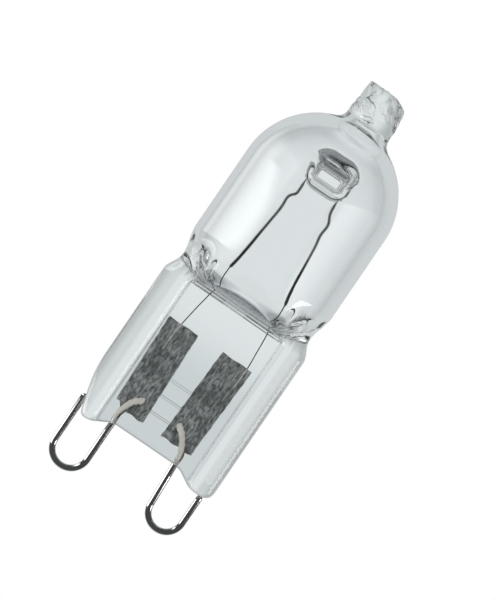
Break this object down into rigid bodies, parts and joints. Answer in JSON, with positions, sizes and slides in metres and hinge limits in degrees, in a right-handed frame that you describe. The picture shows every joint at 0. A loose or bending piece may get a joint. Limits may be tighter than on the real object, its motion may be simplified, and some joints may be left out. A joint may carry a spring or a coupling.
{
  "type": "halogen capsule bulb",
  "caption": "Clear quartz capsule bulb with a flat pinch base, a coiled filament hung over a glass post, foil seals and two wire loop contacts.",
  "frame": {"origin": "middle of the pinch's lower edge, between the two loop contacts", "axes": "+Z along the bulb's axis to the exhaust tip, X across the width of the pinch, Y through its thickness"},
  "size_m": [0.0136, 0.0132, 0.0398],
  "materials": {
    "quartz": "clear fused quartz",
    "tungsten": "dull grey wire",
    "foil": "dark crinkled foil",
    "contact_wire": "bright drawn wire"
  },
  "bodies": {
    "root": {"quartz_envelope": "quartz", "tungsten_filament": "tungsten", "molybdenum_foil_left": "foil", "molybdenum_foil_right": "foil", "contact_loop_left": "contact_wire", "contact_loop_right": "contact_wire"}
  },
  "joints": []
}
